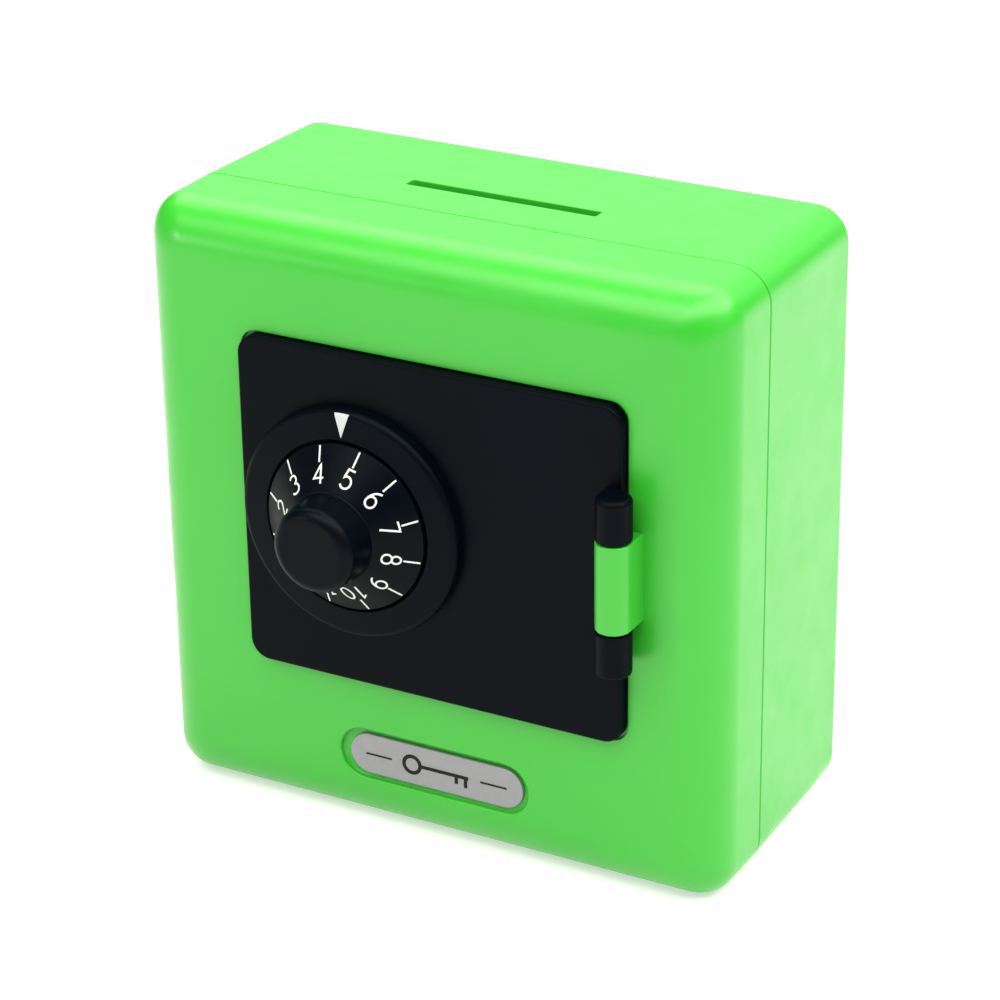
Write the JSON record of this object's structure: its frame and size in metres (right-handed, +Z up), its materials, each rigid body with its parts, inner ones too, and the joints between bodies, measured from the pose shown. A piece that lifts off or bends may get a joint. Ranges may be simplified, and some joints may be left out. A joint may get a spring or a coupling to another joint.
{
  "type": "toy safe coin bank",
  "caption": "Square moulded coin bank shaped like a small safe, with a slot in the top and a hinged front door that carries a combination dial.",
  "frame": {"origin": "middle of the flat underside of the case", "axes": "+Z up, -Y out of the door, +X towards the hinge side"},
  "size_m": [0.12, 0.0766, 0.1205],
  "materials": {
    "case": "bright green moulded plastic, satin gloss",
    "door": "black moulded plastic, fine satin",
    "dial": "black moulded plastic with thin white numbers",
    "wheel": "grey moulded plastic",
    "label": "satin silver foil, blank",
    "steel": "plated steel"
  },
  "bodies": {
    "case": {"front_frame": "case", "rear_shell": "case", "label_plate": "label", "case_screw_1": "steel", "case_screw_2": "steel", "case_screw_3": "steel", "case_screw_4": "steel"},
    "door": {"door": "door", "hinge_pin": "steel", "friction_washer": "steel", "spacer_ring_1": "door", "spacer_ring_2": "door", "lock_cover": "door", "cover_screw_1": "steel", "cover_screw_2": "steel", "cover_screw_3": "steel"},
    "dial": {"dial": "dial", "drive_cam": "wheel", "spindle_washer": "steel", "spindle_screw": "steel"},
    "wheel_1": {"combination_wheel_1": "wheel"},
    "wheel_2": {"combination_wheel_2": "wheel"}
  },
  "joints": [
    {"name": "door_hinge", "type": "hinge", "parent": "case", "child": "door", "pos_m": [0.0416, -0.03425, 0.06665], "axis": [0, 0, 1], "range_deg": [0, 180]},
    {"name": "dial_spin", "type": "hinge", "parent": "door", "child": "dial", "pos_m": [-0.0132, -0.02925, 0.06605], "axis": [0, 1, 0], "continuous": true},
    {"name": "wheel_1_spin", "type": "hinge", "parent": "door", "child": "wheel_1", "pos_m": [-0.0132, -0.02465, 0.06605], "axis": [0, 1, 0], "continuous": true},
    {"name": "wheel_2_spin", "type": "hinge", "parent": "door", "child": "wheel_2", "pos_m": [-0.0132, -0.02105, 0.06605], "axis": [0, 1, 0], "continuous": true}
  ],
  "couplings": [
    {"joint": "wheel_1_spin", "follows": "dial_spin", "ratio": 1},
    {"joint": "wheel_2_spin", "follows": "dial_spin", "ratio": 1}
  ]
}
